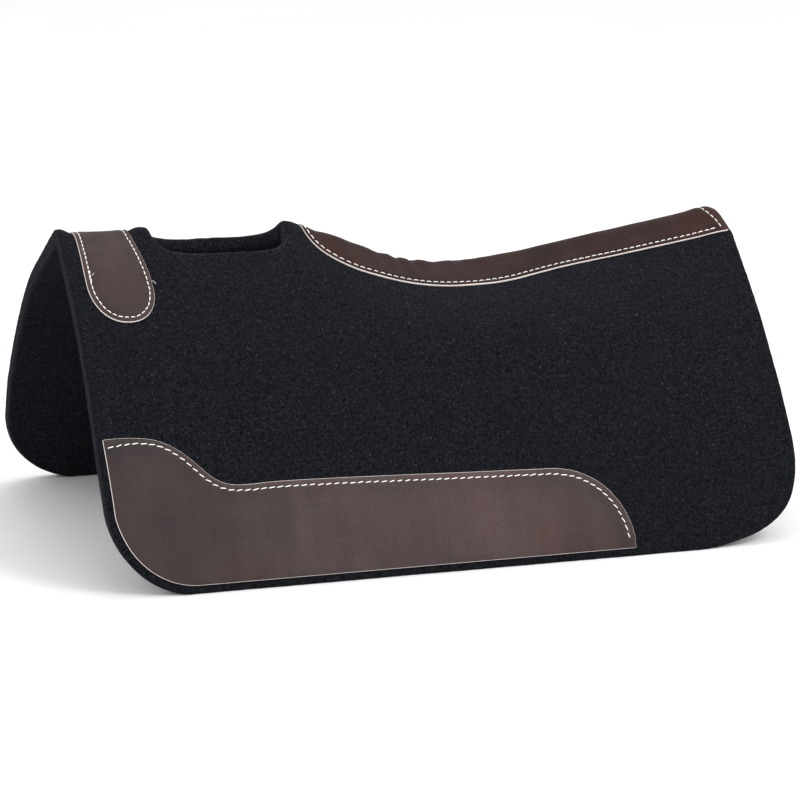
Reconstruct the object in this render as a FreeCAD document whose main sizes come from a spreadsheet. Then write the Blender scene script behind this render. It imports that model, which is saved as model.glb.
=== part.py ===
import FreeCAD, Part
import Sketcher
import math
import os

# Saddle pad for a western saddle.
# Two halves of thick wool felt are sewn together along the ridge. A leather strap lies
# across the withers, a leather strip covers the ridge seam, and a wear leather is sewn low
# on each side. Each half bends lengthwise, so it is made as a crown beside the ridge and a
# hanging flap that turns about an X axis in the middle of the felt.
# Frame: +X towards the horse's tail, left side at -Y, +Z up, standing on z = 0.

V = FreeCAD.Vector
UP = V(0, 0, 1)
SIDES = {"left": -1, "right": 1}

SIZES = {
    "half_length": 389.0,        # half of the overall length along X
    "felt_thick": 19.0,
    "leather_thick": 3.0,
    "skin_gap": 0.3,             # air between a leather and the felt under it
    "thread_thick": 0.6,
    "thread_width": 1.2,
    "outer_radius": 650.0,       # outside of a flap, seen along X
    "bend_centre_in": 392.8,     # centre of that arc, beyond the middle plane
    "bend_centre_below": 166.0,  # and below the bottom edge
    "hinge_turn": 55.2,          # where the flap starts, degrees from upright on that arc
    "hinge_gap": 0.5,            # air between the crown and the top of a flap
    "front_corner": 86.0,
    "rear_corner": 102.0,
    "front_lean": 1.6,           # how far the front edge falls back at its lower corner
    "front_top_lean": 3.5,       # and at the ridge
    "rear_lean": 5.45,           # degrees
    "blank_top": 400.0,          # height that clears every piece
    "blank_length": 820.0,       # length of the sheets before their edges are cut
    "ridge_slope": 34.0,         # slope of the felt beside the ridge, at both ends
    "ridge_slope_mid": 22.0,     # and in the dip of the back
    "seam_depth": 26.0,          # height of the felt at the ridge
    "hole_front": -284.0,
    "hole_rear": -138.0,
    "hole_half_width": 41.8,
    "hole_corner": 34.0,
    "strap_front": -368.0,
    "strap_width": 60.0,
    "strap_end_width": 71.0,
    "strap_end_shift": 3.5,      # the ends sit a little further back than the middle
    "strap_reach": 102.0,        # how far the strap reaches sideways
    "strap_end_depth": 25.0,
    "strip_nose": -116.0,
    "strip_nose_radius": 46.7,
    "strip_half_width": 52.0,    # in the dip of the back
    "strip_rear_half_width": 42.5,
    "strip_end_half_width": 36.0,
    "strip_full_from": 0.0,      # between these the strip has its full width
    "strip_full_to": 100.0,
    "strip_rear_from": 171.0,    # and from here the width of its rear part
    "strip_rear": 368.0,         # rear edge of the felt at the ridge
    "stitch_inset": 4.0,
    "rear_stitch_inset": 10.0,
    "seam_end_inset": 8.0,
    "wear_inset": 6.0,           # bare felt outside the wear leather
    "wear_top": 155.0,
    "wear_lobe_end": -338.0,
    "wear_lobe_radius": 50.0,
    "wear_mid_front": -247.0,
    "wear_mid_top": 103.5,
    "wear_mid_rear": 92.0,
    "wear_rear_top": 95.4,
    "wear_rear": 189.0,
    "wear_stitch_inset": 7.0,
    "bobbin_drop": 9.0,          # a stitch comes out this much lower on the inside
}
# Height of the ridge at evenly spaced stations from the front to the rear
RIDGE = [338.0, 337.0, 337.0, 322.5, 285.0, 280.0, 295.0, 311.0, 326.0]
STATION_REACH = 400.0

doc = FreeCAD.newDocument("saddle_pad")
sheet = doc.addObject("Spreadsheet::Sheet", "dims")
for row, (name, value) in enumerate(SIZES.items(), start=1):
    sheet.set("A%d" % row, str(value))
    sheet.setAlias("A%d" % row, name)
for i, height in enumerate(RIDGE):
    cell = "B%d" % (i + 1)
    sheet.set(cell, str(height))
    sheet.setAlias(cell, "ridge_height_" + "abcdefghi"[i])
doc.recompute()


def size(name):
    return float(sheet.get(name))


R_OUT = size("outer_radius")
FELT = size("felt_thick")
R_IN = R_OUT - FELT
CENTRE_Y = -size("bend_centre_in")
CENTRE_Z = -size("bend_centre_below")
HINGE = math.radians(size("hinge_turn"))
SKIN = size("skin_gap")
SKIN_TOP = SKIN + size("leather_thick")
THREAD_TOP = SKIN_TOP + SKIN + size("thread_thick")


def on_bend(radius, turn):
    """Point on the right flap's bend: turn is measured from upright, outwards."""
    return V(CENTRE_Y + radius * math.sin(turn), CENTRE_Z + radius * math.cos(turn), 0)


def bottom_turn(radius):
    """Turn at which a bend of this radius reaches z = 0."""
    return math.acos(-CENTRE_Z / radius)


AXIS = on_bend(R_OUT - FELT / 2, HINGE)


# ---------------------------------------------------------------- sketches
def arc(centre, radius, start, end):
    """Arc from angle start round to angle end, in radians and anticlockwise."""
    return Part.ArcOfCircle(Part.Circle(centre, UP, radius), start, end)


def arc_through(a, middle, b):
    """Arc from a to b, in either direction, written anticlockwise."""
    curve = Part.Circle(a, middle, b)
    centre = curve.Center
    first = math.atan2(a.y - centre.y, a.x - centre.x)
    last = math.atan2(b.y - centre.y, b.x - centre.x)
    turns_left = (middle - a).cross(b - middle).z > 0
    if not turns_left:
        first, last = last, first
    if last < first:
        last += 2 * math.pi
    return arc(centre, curve.Radius, first, last)


def line(a, b):
    return Part.LineSegment(a, b)


def cubic(poles):
    curve = Part.BSplineCurve()
    curve.buildFromPolesMultsKnots(poles, [4, 4], [0.0, 1.0], False, 3)
    return curve


def plane_of(body, role):
    for feature in body.Origin.OriginFeatures:
        if feature.Role == role:
            return feature
    raise ValueError(role)


def sketch(body, name, role, curves, offset=0.0):
    """Sketch on one of the body's own origin planes, its neighbouring ends joined."""
    result = body.newObject("Sketcher::SketchObject", name)
    result.AttachmentSupport = [(plane_of(body, role), "")]
    result.MapMode = "FlatFace"
    result.AttachmentOffset = FreeCAD.Placement(V(0, 0, offset), FreeCAD.Rotation())
    result.addGeometry(curves, False)
    ends = [(i, spot, curve.StartPoint if spot == 1 else curve.EndPoint)
            for i, curve in enumerate(curves) for spot in (1, 2)]
    for k, (i, spot, point) in enumerate(ends):
        for j, other_spot, other in ends[k + 1:]:
            if i != j and point.distanceToPoint(other) < 1e-4:
                result.addConstraint(Sketcher.Constraint("Coincident", i, spot, j, other_spot))
    return result


def bind(sk, kind, refs, value, expression):
    """A dimension of the sketch that follows the sheet."""
    index = sk.addConstraint(Sketcher.Constraint(kind, *refs, value))
    sk.setExpression("Constraints[%d]" % index, expression)


def blank_frame():
    """Rectangle that is larger than the whole pad, seen from the side or from above."""
    reach = size("blank_top") + 60
    corners = [V(-reach, -reach, 0), V(reach, -reach, 0), V(reach, reach, 0), V(-reach, reach, 0)]
    return [line(corners[i], corners[(i + 1) % 4]) for i in range(4)]


def cut_through(body, name, role, curves):
    """Pocket right through the body, both ways, checked to have removed something."""
    before = body.Shape.Volume
    profile = sketch(body, name + "_sketch", role, curves)
    pocket = body.newObject("PartDesign::Pocket", name)
    pocket.Profile = profile
    pocket.Type = "ThroughAll"
    pocket.SideType = "Symmetric"
    doc.recompute()
    if not body.Shape.Volume < before - 1e-3:
        raise RuntimeError(name + " removed nothing")
    return pocket


def keep_inside(body, name, role, outline):
    """Cut away all that lies outside the outline."""
    return cut_through(body, name, role, blank_frame() + outline)


# ---------------------------------------------------------------- outlines
def felt_outline():
    """Side view of the felt: upright front edge, leaning rear edge, two round corners."""
    reach = size("half_length")
    top = size("blank_top")
    front_r, rear_r = size("front_corner"), size("rear_corner")
    lean = math.radians(size("rear_lean"))
    front_x = -reach + size("front_lean")
    front_centre = V(front_x + front_r, front_r, 0)
    rear_centre = V(reach - rear_r, rear_r, 0)
    rear_touch = rear_centre + V(rear_r * math.cos(lean), rear_r * math.sin(lean), 0)
    rear_top = V(rear_touch.x - (top - rear_touch.y) * math.tan(lean), top, 0)
    front_top = V(-reach + size("front_top_lean"), top, 0)
    front_touch = V(front_x, front_r, 0)
    middle = V(-reach, (top + front_r) / 2, 0)
    return [
        arc_through(front_top, middle, front_touch),
        arc(front_centre, front_r, math.pi, 1.5 * math.pi),
        line(V(front_centre.x, 0, 0), V(rear_centre.x, 0, 0)),
        arc(rear_centre, rear_r, -math.pi / 2, lean),
        line(rear_touch, rear_top),
        line(rear_top, front_top),
    ]


def hole_outline():
    """Wither relief hole seen from above: a rectangle with large round corners."""
    half, radius = size("hole_half_width"), size("hole_corner")
    front, rear = size("hole_front") + radius, size("hole_rear") - radius
    inner = half - radius
    quarter = math.pi / 2
    return [
        arc(V(rear, inner, 0), radius, 0, quarter),
        line(V(rear, half, 0), V(front, half, 0)),
        arc(V(front, inner, 0), radius, quarter, 2 * quarter),
        line(V(front - radius, inner, 0), V(front - radius, -inner, 0)),
        arc(V(front, -inner, 0), radius, 2 * quarter, 3 * quarter),
        line(V(front, -half, 0), V(rear, -half, 0)),
        arc(V(rear, -inner, 0), radius, 3 * quarter, 4 * quarter),
        line(V(rear + radius, -inner, 0), V(rear + radius, inner, 0)),
    ]


def strap_outline(inset=0.0):
    """Wither strap seen from above: it widens to two round ends."""
    middle = size("strap_front") + size("strap_width") / 2
    end_middle = middle + size("strap_end_shift")
    half = size("strap_width") / 2 - inset
    end_half = size("strap_end_width") / 2 - inset
    tip = size("strap_reach") - inset
    shoulder = size("strap_reach") - size("strap_end_depth")
    curves = []
    for side in (-1, 1):
        curves.append(arc_through(V(end_middle - end_half, side * shoulder, 0),
                                  V(end_middle, side * tip, 0),
                                  V(end_middle + end_half, side * shoulder, 0)))
        for end in (-1, 1):
            curves.append(line(V(middle + end * half, 0, 0),
                               V(end_middle + end * end_half, side * shoulder, 0)))
    return curves


def strip_outline(inset=0.0, rear_inset=None):
    """Ridge strip seen from above: a round nose, widest in the dip, narrower to the rear."""
    radius = size("strip_nose_radius") - inset
    nose_x = size("strip_nose") + size("strip_nose_radius")
    if rear_inset is None:
        rear_x = size("half_length") + 20
    else:
        rear_x = size("strip_rear") - rear_inset
    wide, narrow = size("strip_half_width") - inset, size("strip_rear_half_width") - inset
    edge = [V(nose_x, radius, 0), V(size("strip_full_from"), wide, 0),
            V(size("strip_full_to"), wide, 0), V(size("strip_rear_from"), narrow, 0),
            V(rear_x, size("strip_end_half_width") - inset, 0)]
    mirrored = [V(point.x, -point.y, 0) for point in edge]
    curves = [arc(V(nose_x, 0, 0), radius, math.pi / 2, 1.5 * math.pi),
              line(edge[-1], mirrored[-1])]
    for points in (edge, mirrored):
        curves += [line(a, b) for a, b in zip(points[:-1], points[1:])]
    return curves


def seam_outline(front, rear):
    """Narrow band along the ridge seen from above."""
    half = size("thread_width") / 2
    corners = [V(front, -half, 0), V(rear, -half, 0), V(rear, half, 0), V(front, half, 0)]
    return [line(corners[i], corners[(i + 1) % 4]) for i in range(4)]


def wear_top_edge(inset=0.0, drop=0.0):
    """Upper edge of a wear leather, seen from the side and from the front to the rear.

    A lobe at the shoulder, a sweep down to the long middle part, and a round rear end.
    """
    lower = inset + drop
    radius = size("wear_lobe_radius") - inset
    start = V(-size("half_length"), size("wear_top") - lower, 0)
    lobe = V(size("wear_lobe_end"), start.y, 0)
    mid = V(size("wear_mid_front"), size("wear_mid_top") - lower, 0)
    mid_rear = V(size("wear_mid_rear"), size("wear_rear_top") - lower, 0)
    end = V(size("wear_rear") - inset, size("wear_inset"), 0)
    turn = math.radians(47)
    lobe_foot = lobe + V(radius * math.sin(turn), radius * math.cos(turn) - radius, 0)
    foot_middle = (lobe_foot + mid) * 0.5 + V(-3, -5, 0)
    rear_middle = mid_rear + V((end.x - mid_rear.x) * 0.72, (end.y - mid_rear.y) * 0.29, 0)
    return [
        line(start, lobe),
        arc(lobe - V(0, radius, 0), radius, math.pi / 2 - turn, math.pi / 2),
        arc_through(lobe_foot, foot_middle, mid),
        line(mid, mid_rear),
        arc_through(mid_rear, rear_middle, end),
    ]


def wear_outline():
    """Side view of a wear leather: its lower edges run parallel to the felt's."""
    inset = size("wear_inset")
    upper = wear_top_edge()
    start = upper[0].StartPoint
    end = V(size("wear_rear"), inset, 0)
    radius = size("front_corner") - inset
    centre = V(-size("half_length") + size("front_lean") + size("front_corner"),
               size("front_corner"), 0)
    front_x = centre.x - radius
    upper[0] = line(V(front_x, start.y, 0), upper[0].EndPoint)
    return upper + [
        line(V(front_x, start.y, 0), V(front_x, centre.y, 0)),
        arc(centre, radius, math.pi, 1.5 * math.pi),
        line(V(centre.x, inset, 0), end),
    ]


def wear_seam_outline(drop=0.0):
    """The band of stitching under the wear leather's upper edge."""
    inset = size("wear_stitch_inset")
    upper = wear_top_edge(inset, drop)
    lower = wear_top_edge(inset + size("thread_width"), drop)
    front_x = -size("half_length") + size("wear_inset") + 4
    for edge in (upper, lower):
        edge[0] = line(V(front_x, edge[0].StartPoint.y, 0), edge[0].EndPoint)
    return (upper + lower
            + [line(upper[0].StartPoint, lower[0].StartPoint),
               line(V(size("wear_rear") - inset, size("wear_inset"), 0),
                    V(size("wear_rear") - inset - size("thread_width"), size("wear_inset"), 0))])


# ---------------------------------------------------------------- bent sheets
def flap_section(side, inner, outer, top_turn, round_top=False):
    """Section of a bent sheet between two radii, from z = 0 up to top_turn."""
    def angle(turn):
        return math.pi / 2 - side * turn

    def point(radius, turn):
        spot = on_bend(radius, turn)
        return V(side * spot.x, spot.y, 0)

    centre = V(side * CENTRE_Y, CENTRE_Z, 0)
    curves = []
    for radius in (outer, inner):
        ends = sorted([angle(top_turn), angle(bottom_turn(radius))])
        curves.append(arc(centre, radius, *ends))
    curves.append(line(point(outer, bottom_turn(outer)), point(inner, bottom_turn(inner))))
    if round_top:
        facing = angle(top_turn) if side > 0 else angle(top_turn) - math.pi
        curves.append(arc(point((inner + outer) / 2, top_turn), (outer - inner) / 2,
                          facing, facing + math.pi))
    else:
        curves.append(line(point(inner, top_turn), point(outer, top_turn)))
    return curves


def bent_sheet(name, side, inner, outer, top_turn, round_top=False, binding=None):
    """Body of a sheet that is bent about X, longer than the pad; outlines trim it later."""
    body = doc.addObject("PartDesign::Body", name)
    body.Label = name
    profile = sketch(body, name + "_section", "YZ_Plane",
                     flap_section(side, inner, outer, top_turn, round_top))
    bind(profile, "Radius", (0,), outer, binding or "dims.outer_radius")
    pad = body.newObject("PartDesign::Pad", name + "_pad")
    pad.Profile = profile
    pad.SideType = "Symmetric"
    pad.setExpression("Length", "dims.blank_length")
    doc.recompute()
    return body


# ---------------------------------------------------------------- crown sheets
STATIONS = [-STATION_REACH + i * 2 * STATION_REACH / (len(RIDGE) - 1) for i in range(len(RIDGE))]


def ridge_slope(x):
    """Slope beside the ridge: it lies flatter in the dip of the back."""
    dip = math.exp(-((x - 50) / 150) ** 2)
    ends, middle = size("ridge_slope"), size("ridge_slope_mid")
    return math.radians(ends + (middle - ends) * dip)


def crown_poles(height, slope, offset):
    """Poles of a curve from the ridge to the hinge, offset outwards from the felt.

    The inner face of the felt lies the depth of the ridge seam below its outer face there.
    """
    if offset <= -FELT:
        ridge = V(0, height - size("seam_depth") + (offset + FELT) / math.cos(slope), 0)
    else:
        ridge = V(0, height + offset / math.cos(slope), 0)
    face = AXIS + V(-math.cos(HINGE), math.sin(HINGE), 0) * (FELT / 2 + size("hinge_gap"))
    foot = face + V(math.sin(HINGE), math.cos(HINGE), 0) * (FELT / 2 + offset)
    reach = (foot - ridge).Length / 3
    return [ridge, ridge + V(math.cos(slope), -math.sin(slope), 0) * reach,
            foot - V(math.cos(HINGE), -math.sin(HINGE), 0) * reach, foot]


def crown_section(sides, x, height, low, high):
    """Section across the ridge, on one side or both, between two offsets from the felt."""
    slope = ridge_slope(x)
    curves = []
    for side in sides:
        outer = [V(side * p.x, p.y, 0) for p in crown_poles(height, slope, high)]
        inner = [V(side * p.x, p.y, 0) for p in crown_poles(height, slope, low)]
        curves += [cubic(outer), line(outer[3], inner[3]), cubic(inner[::-1])]
        if len(sides) == 1:
            curves.append(line(inner[0], outer[0]))
    return curves


def crown_sheet(name, sides, low, high):
    """Body lofted along the ridge through the stations."""
    body = doc.addObject("PartDesign::Body", name)
    body.Label = name
    sections = []
    for i, (x, height) in enumerate(zip(STATIONS, RIDGE)):
        section = sketch(body, "%s_station_%d" % (name, i), "YZ_Plane",
                         crown_section(sides, x, height, low, high), offset=x)
        sections.append(section)
    doc.recompute()
    loft = body.newObject("PartDesign::AdditiveLoft", name + "_loft")
    loft.Profile = sections[0]
    loft.Sections = [(section, [""]) for section in sections[1:]]
    doc.recompute()
    return body


# ---------------------------------------------------------------- the pieces
nodes = []

for word, side in SIDES.items():
    crown = crown_sheet(word + "_felt_crown", [side], -FELT, 0.0)
    keep_inside(crown, word + "_crown_edges", "XZ_Plane", felt_outline())
    cut_through(crown, word + "_crown_hole", "XY_Plane", hole_outline())
    nodes.append(crown)

    flap = bent_sheet(word + "_felt_flap", side, R_IN, R_OUT, HINGE, round_top=True)
    keep_inside(flap, word + "_flap_edges", "XZ_Plane", felt_outline())
    nodes.append(flap)

    below_hinge = HINGE + math.radians(2)
    wear = bent_sheet(word + "_wear_leather", side, R_OUT + SKIN, R_OUT + SKIN_TOP, below_hinge,
                      binding="dims.outer_radius + dims.skin_gap + dims.leather_thick")
    keep_inside(wear, word + "_wear_edges", "XZ_Plane", wear_outline())
    nodes.append(wear)

    thread = bent_sheet(word + "_wear_thread", side, R_OUT + SKIN_TOP + SKIN, R_OUT + THREAD_TOP,
                        below_hinge,
                        binding="dims.outer_radius + 2 * dims.skin_gap + dims.leather_thick"
                                " + dims.thread_thick")
    keep_inside(thread, word + "_wear_thread_edges", "XZ_Plane", wear_seam_outline())
    nodes.append(thread)

    bobbin = bent_sheet(word + "_wear_bobbin_thread", side, R_IN - SKIN - size("thread_thick"),
                        R_IN - SKIN, below_hinge,
                        binding="dims.outer_radius - dims.felt_thick - dims.skin_gap")
    keep_inside(bobbin, word + "_wear_bobbin_edges", "XZ_Plane",
                wear_seam_outline(size("bobbin_drop")))
    nodes.append(bobbin)

BOTH = [-1, 1]
SEAM_CLEAR = 2 * SKIN + size("thread_thick")   # the seam thread passes under the others
UNDER = (-FELT - SKIN - size("thread_thick"), -FELT - SKIN)
OVER = (SKIN_TOP + SKIN, THREAD_TOP)
inset = size("stitch_inset")
inner_inset = inset + size("thread_width")

strap = crown_sheet("wither_strap", BOTH, SKIN, SKIN_TOP)
keep_inside(strap, "strap_edges", "XY_Plane", strap_outline())
nodes.append(strap)

strip = crown_sheet("spine_leather", BOTH, SKIN, SKIN_TOP)
keep_inside(strip, "strip_edges", "XY_Plane", strip_outline())
keep_inside(strip, "strip_rear_edge", "XZ_Plane", felt_outline())
nodes.append(strip)

for name, (low, high) in (("wither_strap_thread", OVER), ("wither_strap_bobbin_thread", UNDER)):
    thread = crown_sheet(name, BOTH, low, high)
    keep_inside(thread, name + "_outside", "XY_Plane", strap_outline(inset))
    cut_through(thread, name + "_inside", "XY_Plane", strap_outline(inner_inset))
    nodes.append(thread)

rear_inset = size("rear_stitch_inset")
for name, (low, high) in (("spine_leather_thread", OVER), ("spine_leather_bobbin_thread", UNDER)):
    thread = crown_sheet(name, BOTH, low, high)
    keep_inside(thread, name + "_outside", "XY_Plane", strip_outline(inset, rear_inset))
    cut_through(thread, name + "_inside", "XY_Plane",
                strip_outline(inner_inset, rear_inset + size("thread_width")))
    nodes.append(thread)

seam_end = size("seam_end_inset")
for name, front, rear in (
        ("bridge_seam_thread", seam_end - size("half_length"), size("hole_front") - seam_end),
        ("spine_seam_thread", size("hole_rear") + seam_end, size("strip_rear") - seam_end)):
    thread = crown_sheet(name, BOTH, UNDER[0] - SEAM_CLEAR, UNDER[1] - SEAM_CLEAR)
    keep_inside(thread, name + "_edges", "XY_Plane", seam_outline(front, rear))
    nodes.append(thread)

# ---------------------------------------------------------------- checks and files
doc.recompute()
for item in doc.Objects:
    if "Invalid" in item.State or "Error" in item.State:
        raise RuntimeError("%s is %s" % (item.Label, item.State))
os.makedirs("parts", exist_ok=True)
for node in nodes:
    if node.Shape.isNull() or not node.Shape.isValid():
        raise RuntimeError(node.Label + " has no valid shape")
for node in nodes:
    node.Shape.exportStep("parts/%s.step" % node.Label)
    box = node.Shape.optimalBoundingBox()
    print("%-28s %d solid(s) %11.1f mm3  x %.1f..%.1f  y %.1f..%.1f  z %.1f..%.1f" % (
        node.Label, len(node.Shape.Solids), node.Shape.Volume,
        box.XMin, box.XMax, box.YMin, box.YMax, box.ZMin, box.ZMax))
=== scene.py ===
import math

import bpy
import numpy as np
from mathutils import Matrix, Vector


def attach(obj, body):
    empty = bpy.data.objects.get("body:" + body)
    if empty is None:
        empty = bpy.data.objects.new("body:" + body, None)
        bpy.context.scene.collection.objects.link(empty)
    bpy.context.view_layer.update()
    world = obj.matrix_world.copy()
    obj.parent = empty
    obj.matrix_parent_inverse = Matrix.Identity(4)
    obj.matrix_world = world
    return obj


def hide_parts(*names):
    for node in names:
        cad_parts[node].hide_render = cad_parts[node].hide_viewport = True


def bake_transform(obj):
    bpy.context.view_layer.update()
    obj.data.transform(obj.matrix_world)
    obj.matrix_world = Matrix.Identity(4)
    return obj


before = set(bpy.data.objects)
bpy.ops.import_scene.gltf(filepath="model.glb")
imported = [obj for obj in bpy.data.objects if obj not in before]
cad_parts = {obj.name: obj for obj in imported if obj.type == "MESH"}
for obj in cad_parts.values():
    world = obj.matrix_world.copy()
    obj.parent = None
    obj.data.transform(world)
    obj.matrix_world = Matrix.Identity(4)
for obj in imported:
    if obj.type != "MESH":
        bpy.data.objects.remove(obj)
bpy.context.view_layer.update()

# A felt saddle pad. One coordinate pair covers each side: x runs along the horse, and s is the
# distance down the felt's outer face from the ridge. Every sheet on the pad is laid out on (x, s)
# and then placed, at a height above the felt's outer face. Lengths are in metres.

MM = 0.001

# ---------------------------------------------------------------- the pad's form
FELT = 19 * MM
# The flap curves evenly about a centre in the (y, z) plane, and starts at the hinge's turn
OUTER_RADIUS = 650 * MM
BEND_CENTRE = np.array([-392.8, -166.0]) * MM
HINGE_TURN = math.radians(55.2)
HINGE_GAP = 0.5 * MM
# Height of the ridge line at even stations along the pad, and how steeply the crown leaves it
STATIONS = np.linspace(-400, 400, 9) * MM
RIDGE = np.array([338.0, 337.0, 337.0, 322.5, 285.0, 280.0, 295.0, 311.0, 326.0]) * MM
RIDGE_SLOPE, RIDGE_SLOPE_MID = math.radians(34), math.radians(22)
SLOPE_DIP_PLACE, SLOPE_DIP_REACH = 50 * MM, 150 * MM
RIDGE_ROUND = 22 * MM
CREST = 337 * MM
HALF_LENGTH = 389 * MM
FRONT_CORNER, REAR_CORNER = 86 * MM, 102 * MM
REAR_LEAN = math.radians(5.45)
HOLE_MIDDLE, HOLE_REACH = -211 * MM, 73 * MM
# Half width of the hole on each side, how square its ends are (2 would make it an ellipse) and
# how much wider it gets towards the rear
HOLE_SIDES = {-1: (44.6 * MM, 3.7, 0.0), 1: (48.2 * MM, 2.9, 0.05)}
HOLE_FRONT, HOLE_REAR = HOLE_MIDDLE - HOLE_REACH, HOLE_MIDDLE + HOLE_REACH
# Where the felt stands proud of the ridge line or is pressed down: place, height, reach, power
SWELLS = np.array([[-382, 1.2, 14, 2], [-338, -6.4, 36, 8], [-290, -1.0, 14, 2], [-127.5, 4.0, 14, 2],
                   [-97.5, -2.4, 13, 2], [125, -2.2, 225, 8], [355, 1.0, 13, 4], [377, -4.4, 10, 2]])
SWELL_DROP = 30 * MM
# The right flap hangs wider than the left one: how much, from where and over what distance
SPLAY, SPLAY_START, SPLAY_RUN = 14 * MM, 12 * MM, 123 * MM
# Steps in the rear edge (height, run, amount) and bumps on it (height, reach, amount)
REAR_STEPS = ((240, 60, 3.5), (262, 40, 4.0))
REAR_BUMPS = ((195, 45, -2.0), (118, 42, -3.0), (40, 26, 3.5))
REAR_FOOT, REAR_FOOT_REACH = -34 * MM, 8 * MM
EDGE_ROUND, HOLE_ROUND = 3.6 * MM, 6.5 * MM
LEATHER = 3 * MM
# Points over the rounded ridge and down each curve; the flap's curve is followed past the floor
CAP_POINTS, CURVE_POINTS = 24, 300
PAST_FLOOR_TURN = math.radians(80)


def smooth(t):
    """Eases from 0 to 1 as t does."""
    return t * t * (3 - 2 * t)


def spline(xs, ys):
    """Natural cubic spline through the points, as a function."""
    n = len(xs)
    gap = np.diff(xs)
    a = np.eye(n)
    b = np.zeros(n)
    for i in range(1, n - 1):
        a[i, i - 1], a[i, i], a[i, i + 1] = gap[i - 1], 2 * (gap[i - 1] + gap[i]), gap[i]
        b[i] = 6 * ((ys[i + 1] - ys[i]) / gap[i] - (ys[i] - ys[i - 1]) / gap[i - 1])
    m = np.linalg.solve(a, b)

    def value(x):
        i = np.clip(np.searchsorted(xs, x) - 1, 0, n - 2)
        left, right, step = x - xs[i], xs[i + 1] - x, gap[i]
        return ((m[i] * right ** 3 + m[i + 1] * left ** 3) / (6 * step)
                + (ys[i] / step - m[i] * step / 6) * right
                + (ys[i + 1] / step - m[i + 1] * step / 6) * left)
    return value


ridge_height = spline(STATIONS, RIDGE)
# Where the evenly curved flap starts on the outer face: how far it has turned, and its height
TOP_TURN = HINGE_TURN - (FELT / 2 + HINGE_GAP) / OUTER_RADIUS
FLAP_TOP = BEND_CENTRE[1] + OUTER_RADIUS * math.cos(TOP_TURN)


def ridge_slope(x):
    """How steeply the crown falls away from the ridge at x."""
    dip = math.exp(-((x - SLOPE_DIP_PLACE) / SLOPE_DIP_REACH) ** 2)
    return RIDGE_SLOPE + (RIDGE_SLOPE_MID - RIDGE_SLOPE) * dip


def bend_point(radius, turn):
    """Point on the flap's arc of a radius, in the (y, z) plane."""
    return BEND_CENTRE + radius * np.stack([np.sin(turn), np.cos(turn)], -1)


def section_curve(x):
    """Points down the felt's outer face at x, from the top of the rounded ridge to the floor."""
    slope = ridge_slope(x)
    lift = RIDGE_ROUND * (1 / math.cos(slope) - 1)
    ridge = np.array([0.0, float(ridge_height(x)) + lift])
    along = np.array([-math.cos(HINGE_TURN), math.sin(HINGE_TURN)])
    axis = bend_point(OUTER_RADIUS - FELT / 2, HINGE_TURN)
    foot = axis + along * (FELT / 2 + HINGE_GAP) + bend_point(FELT / 2, HINGE_TURN) - BEND_CENTRE
    reach = np.linalg.norm(foot - ridge) / 3
    poles = [ridge, ridge + reach * np.array([math.cos(slope), -math.sin(slope)]),
             foot + reach * along, foot]
    t = np.linspace(0, 1, CURVE_POINTS)[:, None]
    crown = ((1 - t) ** 3 * poles[0] + 3 * (1 - t) ** 2 * t * poles[1]
             + 3 * (1 - t) * t ** 2 * poles[2] + t ** 3 * poles[3])
    tangent = RIDGE_ROUND * math.tan(slope)
    crown = crown[np.linalg.norm(crown - ridge, axis=1) > tangent]
    turn = np.linspace(0, slope, CAP_POINTS)
    centre = np.array([0.0, ridge[1] - RIDGE_ROUND / math.cos(slope)])
    cap = centre + RIDGE_ROUND * np.stack([np.sin(turn), np.cos(turn)], -1)
    flap = bend_point(OUTER_RADIUS, np.linspace(TOP_TURN, PAST_FLOOR_TURN, CURVE_POINTS))[1:]
    return np.concatenate([cap, crown, flap]), CAP_POINTS + len(crown)


def swell(x):
    """How far the ridge stands above its even line at x."""
    total = 0.0
    for middle, height, reach, power in SWELLS:
        total += height * MM * math.exp(-abs((x / MM - middle) / reach) ** power)
    return total


S_GRID = np.arange(0, 460) * MM
X_GRID = np.linspace(-0.41, 0.41, 329)


def build_table():
    """Place, tangent turn and hinge distance of the outer face over the (x, s) grid."""
    table = np.zeros((len(X_GRID), len(S_GRID), 2))
    foot = np.zeros(len(X_GRID))
    for i, x in enumerate(X_GRID):
        points, crown_count = section_curve(x)
        run = np.concatenate([[0], np.cumsum(np.linalg.norm(np.diff(points, axis=0), axis=1))])
        foot[i] = run[crown_count - 1]
        for k in (0, 1):
            table[i, :, k] = np.interp(S_GRID, run, points[:, k])
        table[i, :, 1] += swell(x) * np.exp(-(S_GRID / SWELL_DROP) ** 2)
    step = np.gradient(table, axis=1)
    turn = np.arctan2(-step[:, :, 1], step[:, :, 0])
    return table, turn, foot


PLACE, TURN, FOOT = build_table()


def look_up(grid, x, s):
    """Value of a grid over (x, s), read between its points."""
    fx = np.clip((x - X_GRID[0]) / (X_GRID[1] - X_GRID[0]), 0, len(X_GRID) - 1.001)
    fs = np.clip(s / MM, 0, len(S_GRID) - 1.001)
    i, j = fx.astype(int), fs.astype(int)
    u, v = fx - i, fs - j
    if grid.ndim == 3:
        u, v = u[..., None], v[..., None]
    return ((1 - u) * (1 - v) * grid[i, j] + u * (1 - v) * grid[i + 1, j]
            + (1 - u) * v * grid[i, j + 1] + u * v * grid[i + 1, j + 1])


def splay(s, side):
    """The right flap hangs a little wider than the left one."""
    t = np.clip((s - SPLAY_START) / SPLAY_RUN, 0, 1)
    return SPLAY * smooth(t) * (1 if side > 0 else 0)


def foot_distance(x):
    """Distance down the outer face at which the flap starts."""
    return np.interp(x, X_GRID, FOOT)


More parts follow.
